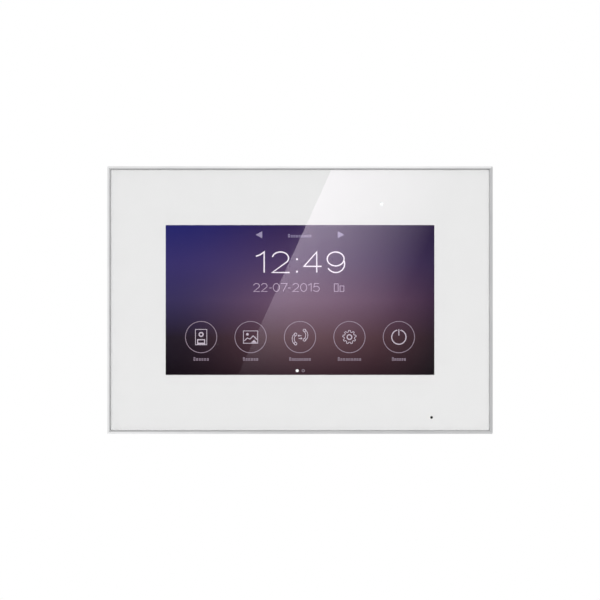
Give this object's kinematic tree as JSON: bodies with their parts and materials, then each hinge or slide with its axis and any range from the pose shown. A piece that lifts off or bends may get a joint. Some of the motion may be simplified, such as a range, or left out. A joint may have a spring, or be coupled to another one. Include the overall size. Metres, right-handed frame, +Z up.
{
  "type": "video intercom monitor",
  "caption": "Slim wall-mounted intercom monitor: glass-fronted touch display in a thin metal trim, hung on a steel wall plate.",
  "frame": {"origin": "on the wall plane, at the centre of the front's outline", "axes": "+X to the viewer's right, +Z up, the glass faces -Y and +Y points into the wall"},
  "size_m": [0.221, 0.022, 0.1536],
  "materials": {
    "plate_steel": "galvanised, fine spangle",
    "trim": "satin anodised band with a polished chamfer",
    "front_glass": "clear polished float glass",
    "mask_white": "white ceramic ink printed on the back of the glass",
    "adhesive": "foam bonding tape",
    "abs_white": "fine spark-eroded texture",
    "screw_steel": "black zinc plated",
    "pad_rubber": "matt moulded rubber",
    "label_white": "blank satin paper label",
    "touch_glass": "clear thin glass with invisible electrodes",
    "flex_circuit": "amber polyimide",
    "foam_black": "closed-cell foam",
    "display_steel": "bright rolled steel",
    "picture": "lit display picture, dark blue to plum",
    "film_white": "diffusing film",
    "acrylic": "clear acrylic",
    "strip_white": "white light strip",
    "board_green": "solder mask over copper traces",
    "chip_black": "moulded epoxy",
    "spreader_aluminium": "dark anodised",
    "can_aluminium": "drawn aluminium",
    "ferrite": "ground ferrite",
    "can_steel": "plated steel",
    "ceramic_tan": "fired chip ceramic with tinned ends",
    "socket_black": "moulded nylon",
    "socket_ivory": "natural nylon",
    "contact_brass": "tinned brass pins",
    "card_black": "moulded card, unmarked",
    "knob_white": "moulded acetal",
    "led_white": "white chip light",
    "rubber_black": "moulded rubber",
    "lead_pvc": "red and black PVC insulation",
    "basket_steel": "black painted pressing",
    "magnet_dark": "zinc plated pot and magnet",
    "coil_copper": "enamelled copper winding",
    "cone_paper": "pressed black paper",
    "cloth_black": "woven dust cloth"
  },
  "bodies": {
    "wall_mount": {"wall_plate": "plate_steel"},
    "monitor": {"trim_frame": "trim", "front_glass": "front_glass", "mask_film": "mask_white", "glass_adhesive": "adhesive", "front_housing": "abs_white", "rear_cover": "abs_white", "cover_screws": "screw_steel", "wall_pads": "pad_rubber", "rear_label": "label_white", "touch_sensor": "touch_glass", "touch_tail": "flex_circuit", "lcd_gasket": "foam_black", "lcd_bezel": "display_steel", "lcd_cell": "picture", "optical_films": "film_white", "light_guide": "acrylic", "light_strip": "strip_white", "lcd_back_plate": "display_steel", "lcd_tail": "flex_circuit", "lcd_clamps": "display_steel", "clamp_screws": "screw_steel", "main_board": "board_green", "board_screws": "screw_steel", "processor": "chip_black", "heat_spreader": "spreader_aluminium", "memory_chips": "chip_black", "small_chips": "chip_black", "capacitors": "can_aluminium", "inductors": "ferrite", "crystal": "can_steel", "small_parts": "ceramic_tan", "battery_holder": "socket_black", "clock_battery": "can_steel", "door_sockets": "socket_ivory", "power_socket": "socket_ivory", "socket_pins": "contact_brass", "ribbon_sockets": "socket_ivory", "lead_sockets": "socket_ivory", "card_socket": "can_steel", "switch_body": "socket_black", "status_led": "led_white", "light_pipe": "acrylic", "microphone": "can_aluminium", "microphone_boot": "rubber_black", "microphone_lead": "lead_pvc", "speaker_basket": "basket_steel", "speaker_magnet": "magnet_dark", "speaker_coil": "coil_copper", "speaker_cone": "cone_paper", "speaker_cap": "cone_paper", "speaker_surround": "rubber_black", "speaker_gasket": "foam_black", "speaker_screws": "screw_steel", "speaker_lead": "lead_pvc", "speaker_cloth": "cloth_black"},
    "card": {"memory_card": "card_black"},
    "knob": {"switch_knob": "knob_white"}
  },
  "joints": [
    {"name": "lift_off", "type": "slide", "parent": "wall_mount", "child": "monitor", "axis": [0, 0, 1], "range_m": [0, 0.006]},
    {"name": "card_slide", "type": "slide", "parent": "monitor", "child": "card", "axis": [1, 0, 0], "range_m": [0, 0.012]},
    {"name": "power_switch", "type": "slide", "parent": "monitor", "child": "knob", "axis": [0, 0, 1], "range_m": [0, 0.002]}
  ]
}
